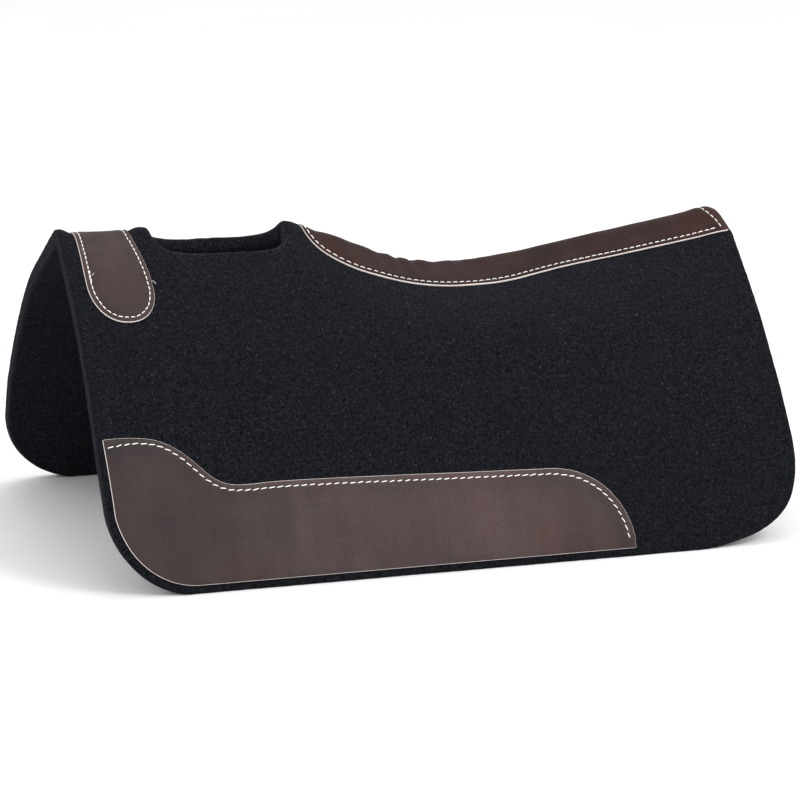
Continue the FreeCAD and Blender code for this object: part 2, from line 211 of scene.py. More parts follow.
def place(x, s, height, side=1):
    """Points at (x, s) and a height above the felt's outer face. Negative s is across the ridge."""
    x, s, height = np.broadcast_arrays(np.asarray(x, float), np.asarray(s, float),
                                       np.asarray(height, float))
    across = np.where(s < 0, -1.0, 1.0)
    spot = look_up(PLACE, x, np.abs(s))
    turn = look_up(TURN, x, np.abs(s))
    y = (spot[..., 0] + splay(s * side, 1) + height * np.sin(turn)) * across * side
    z = spot[..., 1] + height * np.cos(turn)
    return np.stack([x, y, z], -1)


def s_at_height(x, z):
    """Distance down the outer face where the flap passes height z."""
    turn = np.arccos(np.clip((z - BEND_CENTRE[1]) / OUTER_RADIUS, -1, 1))
    return foot_distance(x) + OUTER_RADIUS * (turn - TOP_TURN)


# ---------------------------------------------------------------- outlines
def front_x(z):
    """The felt's front edge at a height: upright with a slight bulge, and a round corner."""
    rise = np.clip(z / CREST, 0, 1.2)
    edge = -HALF_LENGTH + 4 * MM * (2 * rise - 1.05) ** 2 * 0.8
    edge = edge + 2.2 * MM * np.clip((130 * MM - z) / (70 * MM), 0, 1)
    low = np.clip(z, 0, FRONT_CORNER)
    corner = FRONT_CORNER - np.sqrt(np.maximum(FRONT_CORNER ** 2 - (FRONT_CORNER - low) ** 2, 0))
    return edge + corner


def rear_x(z):
    """The felt's rear edge at a height: it leans forwards as it rises."""
    centre_x = HALF_LENGTH - REAR_CORNER
    touch = REAR_CORNER * (1 + math.sin(REAR_LEAN))
    line = centre_x + REAR_CORNER * math.cos(REAR_LEAN) - (z - touch) * math.tan(REAR_LEAN)
    low = np.clip(z, 0, 2 * REAR_CORNER)
    arc = centre_x + np.sqrt(np.maximum(REAR_CORNER ** 2 - (REAR_CORNER - low) ** 2, 0))
    trim = REAR_FOOT * np.exp(-z / REAR_FOOT_REACH)
    for start, run, amount in REAR_STEPS:
        trim += amount * MM * np.clip((z - start * MM) / (run * MM), 0, 1)
    for middle, reach, amount in REAR_BUMPS:
        trim += amount * MM * np.exp(-((z - middle * MM) / (reach * MM)) ** 2)
    return np.where(z > touch, line, arc) + trim


def distance_to_path(points, path):
    """Shortest distance from each point to an open path, in the (x, s) plane."""
    best = np.full(points.shape[:-1], 1e9)
    for a, b in zip(path[:-1], path[1:]):
        ab = b - a
        t = np.clip(((points - a) @ ab) / max(float(ab @ ab), 1e-12), 0, 1)
        best = np.minimum(best, np.linalg.norm(points - a - t[..., None] * ab, axis=-1))
    return best


def rounding(distance, radius):
    """How far a face falls towards a rounded edge, at a distance in from that edge."""
    near = np.clip(radius - distance, 0, radius)
    return radius - np.sqrt(np.maximum(radius ** 2 - near ** 2, 0))


def soft_spacing(n, fine):
    """n + 1 values from 0 to 1, closer together at both ends."""
    t = np.linspace(0, 1, n + 1)
    return (1 - fine) * t + fine * (1 - np.cos(math.pi * t)) / 2


# ---------------------------------------------------------------- noise that repeats exactly
def wobble(points, size, seed):
    """Smooth noise from -1 to 1 over 3D points, about size across."""
    draw = np.random.default_rng(seed)
    total = np.zeros(points.shape[:-1])
    count = 14
    for _ in range(count):
        direction = draw.normal(size=3)
        direction /= np.linalg.norm(direction)
        wave = 2 * math.pi / (size * draw.uniform(0.7, 1.6))
        total += np.sin(points @ direction * wave + draw.uniform(0, 2 * math.pi))
    return total / math.sqrt(count * 2)


def sheet_wobble(x, s, size, seed):
    """The same noise over a sheet laid out on (x, s)."""
    return wobble(np.stack([x, s, np.zeros(x.shape)], -1), size, seed)


# ---------------------------------------------------------------- mesh helpers
def mesh_object(name, points, faces, materials, face_materials=None):
    """Smooth-shaded object; face_materials gives each face's place in the list of materials."""
    mesh = bpy.data.meshes.new(name)
    mesh.from_pydata([tuple(p) for p in points], [], faces)
    for material in materials:
        mesh.materials.append(material)
    if face_materials is not None:
        mesh.polygons.foreach_set("material_index", face_materials)
    mesh.polygons.foreach_set("use_smooth", [True] * len(mesh.polygons))
    mesh.validate()
    mesh.update()
    made = bpy.data.objects.new(name, mesh)
    bpy.context.scene.collection.objects.link(made)
    return made


def grid_faces(rows, columns, start=0, flip=False):
    """Quads between the points of a grid whose first point has the index start."""
    faces = []
    for j in range(rows - 1):
        for i in range(columns - 1):
            a = start + j * columns + i
            quad = (a, a + 1, a + columns + 1, a + columns)
            faces.append(quad[::-1] if flip else quad)
    return faces


def rim(rows, columns):
    """Indices around the border of a grid, in order."""
    bottom = list(range(columns))
    right = [j * columns + columns - 1 for j in range(1, rows)]
    top = [(rows - 1) * columns + i for i in range(columns - 2, -1, -1)]
    left = [j * columns for j in range(rows - 2, 0, -1)]
    return bottom + right + top + left


def wall_faces(rings):
    """Quads between each ring of point indices and the next."""
    faces = []
    for first, second in zip(rings[:-1], rings[1:]):
        for i in range(len(first)):
            j = (i + 1) % len(first)
            faces.append((first[i], second[i], second[j], first[j]))
    return faces


def slab(name, upper, lower, wall_steps, material):
    """Closed sheet between two grids of points, with a wall round the border."""
    rows, columns = upper.shape[:2]
    count = rows * columns
    points = [upper.reshape(-1, 3), lower.reshape(-1, 3)]
    faces = grid_faces(rows, columns) + grid_faces(rows, columns, count, flip=True)
    border = rim(rows, columns)
    top, bottom = points[0][border], points[1][border]
    rings = [border]
    for k in range(1, wall_steps):
        t = k / wall_steps
        points.append(top * (1 - t) + bottom * t)
        start = 2 * count + (k - 1) * len(border)
        rings.append(list(range(start, start + len(border))))
    rings.append([count + i for i in border])
    return mesh_object(name, np.concatenate(points), faces + wall_faces(rings), [material])


# ---------------------------------------------------------------- materials
def new_material(name):
    made = bpy.data.materials.new(name)
    made.use_nodes = True
    tree = made.node_tree
    return made, tree, tree.nodes["Principled BSDF"]


def noise(tree, scale, detail=4.0, roughness=0.6, stretch=None):
    """Noise over the object's own coordinates; a small stretch value draws it out that way."""
    texture = tree.nodes.new("ShaderNodeTexNoise")
    texture.inputs["Scale"].default_value = scale
    texture.inputs["Detail"].default_value = detail
    texture.inputs["Roughness"].default_value = roughness
    coordinates = tree.nodes.new("ShaderNodeTexCoord")
    source = coordinates.outputs["Object"]
    if stretch:
        mapping = tree.nodes.new("ShaderNodeMapping")
        mapping.inputs["Scale"].default_value = stretch
        tree.links.new(source, mapping.inputs["Vector"])
        source = mapping.outputs["Vector"]
    tree.links.new(source, texture.inputs["Vector"])
    return texture.outputs["Fac"]


def ramp(tree, value, stops):
    """Colour from a value, by (position, colour) stops."""
    node = tree.nodes.new("ShaderNodeValToRGB")
    elements = node.color_ramp.elements
    while len(elements) < len(stops):
        elements.new(0.5)
    for element, (position, colour) in zip(elements, stops):
        element.position = position
        element.color = (*colour, 1.0)
    tree.links.new(value, node.inputs["Fac"])
    return node.outputs["Color"]


def mix(tree, factor, first, second, kind="MIX"):
    node = tree.nodes.new("ShaderNodeMix")
    node.data_type = "RGBA"
    node.blend_type = kind
    for socket, value in ((node.inputs[0], factor), (node.inputs[6], first), (node.inputs[7], second)):
        if isinstance(value, (int, float)):
            socket.default_value = value
        elif isinstance(value, tuple):
            socket.default_value = (*value, 1.0)
        else:
            tree.links.new(value, socket)
    return node.outputs[2]


def multiply(tree, first, second):
    return mix(tree, 1.0, first, second, "MULTIPLY")


def bump(tree, shader, layers):
    """Bumps on the shader: each layer is a height, its strength and its depth in metres."""
    previous = None
    for height, strength, depth in layers:
        node = tree.nodes.new("ShaderNodeBump")
        node.inputs["Strength"].default_value = strength
        node.inputs["Distance"].default_value = depth
        tree.links.new(height, node.inputs["Height"])
        if previous:
            tree.links.new(previous, node.inputs["Normal"])
        previous = node.outputs["Normal"]
    tree.links.new(previous, shader.inputs["Normal"])


def grey(value):
    return (value, value, value)


FIBRE_STRETCH = (1.0, 0.5, 0.8)


def felt_material(name, dark, light, speck):
    """Pressed wool felt: matted fibres, faint blue and purple patches and a few pale fibres."""
    made, tree, shader = new_material(name)
    mottle = ramp(tree, noise(tree, 330, 5, 0.85), [(0.38, dark), (0.66, light)])
    patches = ramp(tree, noise(tree, 16, 3),
                   [(0.34, (0.93, 0.98, 1.0)), (0.52, grey(1.0)), (0.68, (1.02, 0.98, 1.10))])
    fibres = ramp(tree, noise(tree, 700, 2, 0.5, FIBRE_STRETCH), [(0.67, grey(0)), (0.80, grey(1))])
    colour = mix(tree, fibres, multiply(tree, mottle, patches), speck)
    tree.links.new(colour, shader.inputs["Base Color"])
    shader.inputs["Roughness"].default_value = 1.0
    shader.inputs["Specular IOR Level"].default_value = 0.06
    shader.inputs["Sheen Weight"].default_value = 0.03
    shader.inputs["Sheen Roughness"].default_value = 0.5
    shader.inputs["Sheen Tint"].default_value = (0.62, 0.68, 0.80, 1.0)
    bump(tree, shader, [(noise(tree, 270, 5, 0.8), 1.0, 1.9 * MM),
                        (noise(tree, 800, 3, 0.6, FIBRE_STRETCH), 0.7, 0.6 * MM)])
    return made


SHADE_REACH = 0.4


def leather_material(name, dark, mid, warm, rough=0.62, gloss=0.24, shade=()):
    """Smooth grain leather with soft stains, faint wear across the hide, fine pores and scuffs.

    The shade is a list of (x, brightness) along the pad.
    """
    made, tree, shader = new_material(name)
    stains = ramp(tree, noise(tree, 11, 4, 0.5), [(0.30, dark), (0.50, mid), (0.72, warm)])
    bands = ramp(tree, noise(tree, 34, 3, 0.5, (1.0, 0.35, 0.28)),
                 [(0.34, grey(0.86)), (0.66, grey(1.08))])
    grain = ramp(tree, noise(tree, 420, 4, 0.7), [(0.32, grey(0.80)), (0.62, grey(1.08))])
    scuffs = ramp(tree, noise(tree, 95, 5, 0.7, (0.22, 1.0, 2.2)),
                  [(0.60, grey(1.0)), (0.78, grey(1.22))])
    colour = stains
    for layer in (bands, grain, scuffs):
        colour = multiply(tree, colour, layer)
    if shade:
        parts = tree.nodes.new("ShaderNodeSeparateXYZ")
        tree.links.new(tree.nodes.new("ShaderNodeTexCoord").outputs["Object"], parts.inputs[0])
        span = tree.nodes.new("ShaderNodeMapRange")
        span.inputs["From Min"].default_value = -SHADE_REACH
        span.inputs["From Max"].default_value = SHADE_REACH
        tree.links.new(parts.outputs["X"], span.inputs["Value"])
        stops = [((x + SHADE_REACH) / (2 * SHADE_REACH), grey(value)) for x, value in shade]
        colour = multiply(tree, colour, ramp(tree, span.outputs[0], stops))
    # Painted light from the sheet's per-point attribute: a painted shade band inside the needle lines
    # and a painted highlight on their outer margins
    tone = tree.nodes.new("ShaderNodeAttribute")
    tone.attribute_name = "painted_seam_shade"
    colour = multiply(tree, colour, tone.outputs["Fac"])
    tree.links.new(colour, shader.inputs["Base Color"])
    sheen = ramp(tree, noise(tree, 45, 4), [(0.3, grey(rough - 0.07)), (0.7, grey(rough + 0.09))])
    tree.links.new(sheen, shader.inputs["Roughness"])
    shader.inputs["Specular IOR Level"].default_value = gloss
    bump(tree, shader, [(noise(tree, 1300, 4, 0.6), 0.35, 0.25 * MM),
                        (noise(tree, 210, 4, 0.6), 0.3, 0.5 * MM)])
    return made


def plain_fibre_material(name, colour, shade, scale):
    """Thread or raw leather edge: two shades of one colour and a fine fibrous bump."""
    made, tree, shader = new_material(name)
    tone = ramp(tree, noise(tree, scale, 4, 0.7), [(0.3, shade), (0.6, colour)])
    tree.links.new(tone, shader.inputs["Base Color"])
    shader.inputs["Roughness"].default_value = 0.85
    shader.inputs["Specular IOR Level"].default_value = 0.2
    bump(tree, shader, [(noise(tree, scale * 2.2, 3, 0.6), 0.5, 0.25 * MM)])
    return made


WOOL = felt_material("felt", (0.0004, 0.0005, 0.0010), (0.0170, 0.0180, 0.0240),
                     (0.120, 0.124, 0.130))
WEAR = leather_material("wear_leather", (0.048, 0.031, 0.031), (0.062, 0.042, 0.041),
                        (0.068, 0.038, 0.036),
                        shade=((-0.385, 0.60), (-0.30, 0.62), (-0.18, 0.96), (0.04, 1.04), (0.17, 0.74)))
STRAP = leather_material("strap_leather", (0.028, 0.016, 0.015), (0.042, 0.025, 0.023),
                         (0.048, 0.026, 0.024))
STRIP = leather_material("spine_leather", (0.016, 0.007, 0.0065), (0.027, 0.0125, 0.0115),
                         (0.036, 0.014, 0.012), rough=0.6, gloss=0.09)
RAW_EDGE = plain_fibre_material("raw_leather_edge", (0.95, 0.88, 0.84), (0.70, 0.58, 0.53), 650)
THREAD = plain_fibre_material("white_thread", (0.93, 0.92, 0.89), (0.78, 0.76, 0.72), 2600)
FIBRE = plain_fibre_material("felt_fibre", (0.11, 0.115, 0.125), (0.028, 0.030, 0.036), 900)
DARK_THREAD = plain_fibre_material("black_thread", (0.020, 0.020, 0.023), (0.009, 0.009, 0.011), 2600)


# ---------------------------------------------------------------- the felt halves
def hole_edge(x, side):
    """Distance from the ridge to the edge of the relief hole, 0 in front of it and behind."""
    t = np.clip((x - HOLE_MIDDLE) / HOLE_REACH, -1, 1)
    width, power, skew = HOLE_SIDES[side]
    return width * (1 + skew * t) * (1 - np.abs(t) ** power) ** (1 / power)


def hole_rim(side, t):
    """Points on the edge of the hole in the (x, s) plane, from its front end at 0 to pi."""
    x = HOLE_MIDDLE - HOLE_REACH * np.sign(np.cos(t)) * np.abs(np.cos(t)) ** 0.5
    return np.stack([x, hole_edge(x, side)], -1)


def column_spacing():
    """Shares of the length, closer together at the edges and at both ends of the hole."""
    length = 2 * HALF_LENGTH
    end_run = 24 * MM
    edge = np.array([0, 0.4, 1.1, 2.2, 3.6, 5.2]) * MM
    round_end = end_run * np.linspace(0, 1, 19) ** 2.2
    front = HOLE_FRONT + HALF_LENGTH
    rear = HOLE_REAR + HALF_LENGTH
    beside = np.array([0.3, 1.0, 2.0, 3.4]) * MM
    parts = [edge,
             np.linspace(7 * MM, front - 5 * MM, 32), front - beside[::-1], front + round_end,
             np.linspace(front + end_run, rear - end_run, 36)[1:-1],
             rear - round_end[::-1], rear + beside,
             np.linspace(rear + 5 * MM, length - 7 * MM, 165), length - edge[::-1]]
    return np.concatenate(parts) / length


def felt_half(word, side):
    """One side of the felt: rows of points down the crown, then at heights down the flap."""
    columns = column_spacing()
    crown_rows = np.concatenate([[0, 0.004, 0.010, 0.018, 0.028], np.linspace(0.042, 1, 54)])
    flap_heights = FLAP_TOP * (1 - np.linspace(0, 1, 79)[1:])
    fine = np.array([0.0, 0.4, 1.1, 2.2, 3.6]) * MM
    flap_heights = np.concatenate([flap_heights[flap_heights > 4.5 * MM], fine[::-1]])
    rows = len(crown_rows) + len(flap_heights)
    inner_radius = OUTER_RADIUS - FELT
    inner_top = BEND_CENTRE[1] + inner_radius * math.cos(TOP_TURN)
    share = np.broadcast_to(columns, (rows, len(columns)))
    x = np.zeros(share.shape)
    outer_s, inner_s = np.zeros(share.shape), np.zeros(share.shape)
    for j in range(rows):
        if j < len(crown_rows):
            guess = np.array([-HALF_LENGTH, HALF_LENGTH * 0.97])
            s = crown_rows[j] * foot_distance(guess)
            z = look_up(PLACE, guess, s)[:, 1]
        else:
            z = np.full(2, flap_heights[j - len(crown_rows)])
        x[j] = front_x(z[0]) + (rear_x(z[1]) - front_x(z[0])) * share[j]
        foot = foot_distance(x[j])
        if j < len(crown_rows):
            cut = hole_edge(x[j], side)
            outer_s[j] = cut + (foot - cut) * crown_rows[j]
            inner_s[j] = outer_s[j]
        else:
            outer_s[j] = s_at_height(x[j], z[0])
            inner_z = z[0] * inner_top / FLAP_TOP
            inner_turn = math.acos((inner_z - BEND_CENTRE[1]) / inner_radius)
            inner_s[j] = foot + OUTER_RADIUS * (inner_turn - TOP_TURN)
    path_z = np.concatenate([np.linspace(CREST, 100 * MM, 12), np.linspace(92 * MM, 0, 24)])
    front_path = np.stack([front_x(path_z), CREST - path_z], -1)
    rear_path = np.stack([rear_x(path_z), CREST - path_z], -1)[::-1]
    heights = place(x, outer_s, 0.0)[..., 2]
    flat = np.stack([x, CREST - heights], -1)
    border = distance_to_path(flat, np.concatenate([front_path, rear_path]))
    hole = distance_to_path(np.stack([x, outer_s], -1), hole_rim(side, np.linspace(0, math.pi, 121)))
    fall = np.maximum(rounding(border, EDGE_ROUND), rounding(hole, HOLE_ROUND))

    def put(s, height):
        """Points that keep to their own side of the middle and above the floor."""
        spots = place(x, s, height, side)
        spots[..., 1] = np.maximum(spots[..., 1] * side, 0.02 * MM) * side
        spots[..., 2] = np.maximum(spots[..., 2], 0.1 * MM)
        return spots
    upper, lower = put(outer_s, -fall), put(inner_s, -FELT + fall)
    fuzz = (0.30 * wobble(upper, 9 * MM, 3) + 0.14 * wobble(upper, 4 * MM, 4)
            + 0.45 * wobble(upper, 60 * MM, 5)) * MM
    fuzz_in = (0.30 * wobble(lower, 9 * MM, 6) + 0.45 * wobble(lower, 60 * MM, 7)) * MM
    upper, lower = put(outer_s, -fall + fuzz), put(inner_s, -FELT + fall + fuzz_in)
    if side > 0:
        upper, lower = upper[:, ::-1], lower[:, ::-1]
    half = slab(word + "_felt_half", upper[::-1], lower[::-1], 4, WOOL)
    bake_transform(half)
    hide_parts(word + "_felt_crown", word + "_felt_flap")


# ---------------------------------------------------------------- leather sheets
BEVEL = 1.0 * MM
# Section of a cut edge: distance out from the sheet's face and share of its height
EDGE_SECTION = ((0.30, 0.975), (0.62, 0.90), (0.88, 0.76), (1.0, 0.55), (1.0, 0.28), (0.85, 0.02))
# Rings of the edge that still show the grain side; the rest is raw leather
GRAIN_RINGS = 2


def loop_outward(loop):
    """Unit vectors that point out of a closed loop in the (x, s) plane."""
    ahead, behind = np.roll(loop, -1, axis=0), np.roll(loop, 1, axis=0)
    area = np.sum(loop[:, 0] * ahead[:, 1] - ahead[:, 0] * loop[:, 1])
    tangent = ahead - behind
    out = np.stack([tangent[:, 1], -tangent[:, 0]], -1) * (1 if area > 0 else -1)
    return out / np.maximum(np.linalg.norm(out, axis=1, keepdims=True), 1e-9)


def leather_sheet(name, x, s, side, material, relief):
    """Leather laid on the felt over a grid of (x, s), with a cut edge in raw leather round it."""
    if side > 0:
        x, s = x[:, ::-1], s[:, ::-1]
    rows, columns = x.shape
    border = rim(rows, columns)
    flat = np.stack([x, s], -1)
    loop = flat.reshape(-1, 2)[border]
    edge = distance_to_path(flat, np.concatenate([loop, loop[:1]]))
    margin = np.clip(1 - edge / (5 * MM), 0, 1)
    # relief gives the raised height and a brightness per point that is painted light: painted shade and
    # highlight by the seams
    raised, tone = relief(x, s, edge)
    top = LEATHER - 0.9 * MM * margin ** 1.4 + raised
    upper, lower = place(x, s, top, side), place(x, s, 0.05 * MM, side)
    count = rows * columns
    points = [upper.reshape(-1, 3), lower.reshape(-1, 3)]
    faces = grid_faces(rows, columns) + grid_faces(rows, columns, count, flip=True)
    out = loop_outward(loop)
    rings = [border]
    for away, share in EDGE_SECTION:
        spot = loop + out * away * BEVEL
        points.append(place(spot[:, 0], spot[:, 1], top.reshape(-1)[border] * share, side))
        rings.append([2 * count + (len(rings) - 1) * len(border) + i for i in range(len(border))])
    rings.append([count + i for i in border])
    raw = (len(rings) - 1 - GRAIN_RINGS) * len(border)
    faces += wall_faces(rings)
    marks = [0] * (len(faces) - raw) + [1] * raw
    sheet = mesh_object(name, np.concatenate(points), faces, [material, RAW_EDGE], marks)
    # Painted seam shade and highlight, stored per point for the material to multiply into the leather
    # colour
    painted_shade_values = [tone.reshape(-1)] * 2 + [tone.reshape(-1)[border]] * len(EDGE_SECTION)
    layer = sheet.data.attributes.new("painted_seam_shade", "FLOAT", "POINT")
    layer.data.foreach_set("value", np.concatenate(painted_shade_values).astype(np.float32))
    return sheet


def painted_seam_shade(from_line, margin, light=1.16):
    """Painted light by the needle line: a painted highlight of the given brightness on the margin
    outside it and a painted shade band inside it.
    """
    # painted shade band inside the needle line
    inside = 1 - 0.20 * np.exp(-(from_line / (13 * MM)) ** 1.6)
    blend = np.clip(0.5 + np.where(margin, from_line, -from_line) / (1.6 * MM), 0, 1)
    return inside + (light - inside) * blend


def seam_relief(distance, depth=0.55 * MM):
    """A sewn line: the leather dips at the stitches and swells a little inside them."""
    dip = np.exp(-(distance / (1.5 * MM)) ** 2)
    inside = np.exp(-((distance - 6 * MM) / (4.5 * MM)) ** 2)
    return -depth * dip + 0.25 * MM * inside


# Wear leather: bare felt outside it, its ends, its front corner and its upper edge as (x, height)
WEAR_INSET = 7 * MM
WEAR_FRONT = -HALF_LENGTH + 3.2 * MM + WEAR_INSET
WEAR_REAR = 189 * MM
WEAR_CORNER = 84 * MM
WEAR_TOP = np.array([[-392, 152.8], [-378, 154.0], [-360, 154.3], [-340, 153.0], [-321.5, 149.0],
                     [-304, 139.6], [-287, 125.4], [-273.5, 113.0], [-261, 106.0], [-242, 102.8],
                     [-213, 103.2], [-174, 103.0], [-102, 101.2], [-22, 98.6], [92, 95.2]]) * MM
TAIL_START, TAIL_HEIGHT = WEAR_TOP[-1]
wear_front_top = spline(*WEAR_TOP.T)


def wear_top(x):
    """Height of the wear leather's upper edge: shoulder lobe, sweep, long run and round end."""
    t = np.clip((x - TAIL_START) / (WEAR_REAR - TAIL_START), 0, 1)
    tail = TAIL_HEIGHT - (TAIL_HEIGHT - WEAR_INSET) * (1 - np.sqrt(np.maximum(1 - t ** 2.25, 0)))
    return np.where(x > TAIL_START, tail, wear_front_top(np.minimum(x, TAIL_START)))


def wear_bottom(x):
    """Height of the lower edge: it rises in a wide curve to the upright front edge."""
    low = np.clip(WEAR_FRONT + WEAR_CORNER - x, 0, WEAR_CORNER)
    corner = WEAR_CORNER * (1 - np.sqrt(np.maximum(1 - (low / WEAR_CORNER) ** 2, 0)))
    return WEAR_INSET + 1.5 * MM + corner


def wear_lean(z):
    """How far the front edge leans forwards at a height."""
    return -4.5 * MM * np.clip((z - 60 * MM) / (95 * MM), 0, 1) ** 1.3


def wear_seam():
    """The needle line in (x, s), from the front edge over the top to the rear tip."""
    columns = np.linspace(WEAR_FRONT - 4 * MM, WEAR_REAR - 0.02 * MM, 1400)
    top = np.stack([columns, s_at_height(columns, wear_top(columns))], -1)
    inset = 6.3 * MM + 2.6 * MM * np.exp(-((columns - WEAR_FRONT) / (22 * MM)) ** 2)
    line = inset_path(top, inset[:, None])
    inside = (line[:, 0] > WEAR_FRONT - 1.5 * MM) & (line[:, 1] < s_at_height(line[:, 0], 17 * MM))
    return line[inside]


def wear_leather(word, side):
    """Wear leather low on the flap. Its columns crowd at the front edge and at the round end."""
    front = WEAR_FRONT + BEVEL
    rear = WEAR_REAR - BEVEL
    t = np.concatenate([(1 - np.cos(np.linspace(0, math.pi / 2, 30))) * 0.14,
                        np.linspace(0.144, 0.84, 200),
                        1 - (1 - np.cos(np.linspace(math.pi / 2, 0, 40))) * 0.155])
    columns = front + (rear - front) * t
    share = soft_spacing(60, 0.35)
    low, high = wear_bottom(columns) + 1.2 * MM, wear_top(columns) - BEVEL
    high = np.maximum(high, low + 0.4 * MM)
    z = low + (high - low) * share[:, None]
    fade = np.clip((-250 * MM - columns) / (130 * MM), 0, 1)
    x = columns + wear_lean(z) * smooth(fade)
    seam = wear_seam()
    line = seam[::6]

    def relief(gx, gs, edge):
        from_line = distance_to_path(np.stack([gx, gs], -1), line)
        below = np.where(gs > np.interp(gx, line[:, 0], line[:, 1]), 1.0, 0.25)
        raised = seam_relief(from_line) * np.where(from_line > 3 * MM, below, 1)
        # The margin above the needle line gets a painted highlight; the band below it gets painted shade
        margin = (below < 1) & (from_line < 12 * MM)
        raised += 0.3 * MM * sheet_wobble(gx, gs, 90 * MM, 11)
        return raised, painted_seam_shade(from_line, margin)
    sheet = leather_sheet(word + "_wear_leather_panel", x, s_at_height(x, z), side, WEAR, relief)
    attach(sheet, word + "_flap")
    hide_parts(word + "_wear_leather")
    return seam


# Wither strap: how far down each side it reaches, where it starts to round off, its middle line
# and half width on the ridge, and how far it flares
STRAP_REACH, STRAP_SHOULDER = 129 * MM, 84 * MM
STRAP_MIDDLE, STRAP_HALF, STRAP_FLARE = -337.8 * MM, 29.8 * MM, 5.4 * MM
SEAM_INSET = 5 * MM


def strap_sides(rows, inset=0.0):
    """Front and rear edge of the wither strap at distances s down either side."""
    away = np.abs(rows)
    past = away - STRAP_SHOULDER
    swing = smooth(np.clip(away / STRAP_SHOULDER, 0, 1))
    middle = STRAP_MIDDLE + 2.8 * MM * swing + 2.6 * MM * np.clip(past / (45 * MM), 0, 1)
    half = STRAP_HALF + STRAP_FLARE * swing - inset
    end = np.clip(past / (STRAP_REACH - inset - STRAP_SHOULDER), 0, 1)
    half = np.maximum(half * np.maximum(1 - end ** 2.2, 0) ** (1 / 2.2), 0.3 * MM)
    return middle - half, middle + half


def strap_loop(inset):
    """Closed line round the strap at an inset from its cut edge, in even steps."""
    reach = STRAP_REACH - inset
    rows = reach * np.sin(np.linspace(-math.pi / 2, math.pi / 2, 400))
    front, rear = strap_sides(rows, inset)
    loop = np.concatenate([np.stack([rear, rows], -1), np.stack([front, rows], -1)[::-1]])
    return even_points(np.concatenate([loop, loop[:1]]), 1.5 * MM)


def strap_leather():
    """Wither strap: a band over the ridge that widens to two round ends."""
    reach = STRAP_REACH - BEVEL
    rows = reach * (soft_spacing(130, 0.9) * 2 - 1)
    share = soft_spacing(34, 0.6)
    front, rear = strap_sides(rows, BEVEL)
    x = front[:, None] + (rear - front)[:, None] * share
    s = np.broadcast_to(rows[:, None], x.shape)
    line = strap_loop(SEAM_INSET)

    def relief(gx, gs, edge):
        from_line = distance_to_path(np.stack([gx, gs], -1), line)
        raised = seam_relief(from_line) + 0.25 * MM * sheet_wobble(gx, gs, 50 * MM, 12)
        # Painted highlight on the margin outside the needle line, painted shade inside it
        return raised, painted_seam_shade(from_line, edge < 4 * MM, 1.12)
    sheet = leather_sheet("wither_strap_leather", x, s, 1, STRAP, relief)
    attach(sheet, "spine")
    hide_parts("wither_strap")


# Spine leather: its round nose, the line that its side seams and columns reach, its half widths
STRIP_NOSE, NOSE_RUN, NOSE_HALF = -116 * MM, 70 * MM, 54 * MM
SIDE_SEAM_END, STRIP_END, STRIP_REAR_GAP = 360 * MM, 366 * MM, 4.8 * MM
STRIP_WIDTHS = np.array([[-46, 54], [95, 54], [112, 52.6], [137, 48.4], [155, 46.2], [175, 44.7],
                         [245, 44.2], [325, 42.3], [400, 38.6]]) * MM


def strip_half_width(x, inset=0.0):
    """Half width of the spine leather at x: a round nose, then eased between its widths."""
    t = np.clip((x - STRIP_NOSE - inset) / (NOSE_RUN - inset), 0, 1)
    nose = (NOSE_HALF - inset) * np.sqrt(np.maximum(1 - (1 - t) ** 2.6, 0))
    spread = np.array([-12, -6, 0, 6, 12]) * MM
    body = sum(np.interp(x + gap, *STRIP_WIDTHS.T) for gap in spread) / 5 - inset
    return np.maximum(np.where(x < STRIP_WIDTHS[0, 0], nose, body), 0.3 * MM)


def strip_rear(s):
    """Rear edge of the spine leather, a little in front of the felt's own rear edge."""
    return rear_x(place(0.365, s, 0.0)[..., 2]) - STRIP_REAR_GAP


def strip_seams():
    """Needle lines of the spine leather: one down each side and one across the rear."""
    front = STRIP_NOSE + SEAM_INSET
    columns = front + (SIDE_SEAM_END - front) * np.linspace(0, 1, 900) ** 1.8
    half = strip_half_width(columns, SEAM_INSET)
    lines = [np.stack([columns, half * sign], -1) for sign in (-1, 1)]
    across = np.linspace(-1, 1, 60) * half[-1]
    row = strip_rear(across) - 6.0 * MM - 10.5 * MM * np.exp(-(across / (20 * MM)) ** 2)
    lines.append(np.stack([row, across], -1))
    return lines


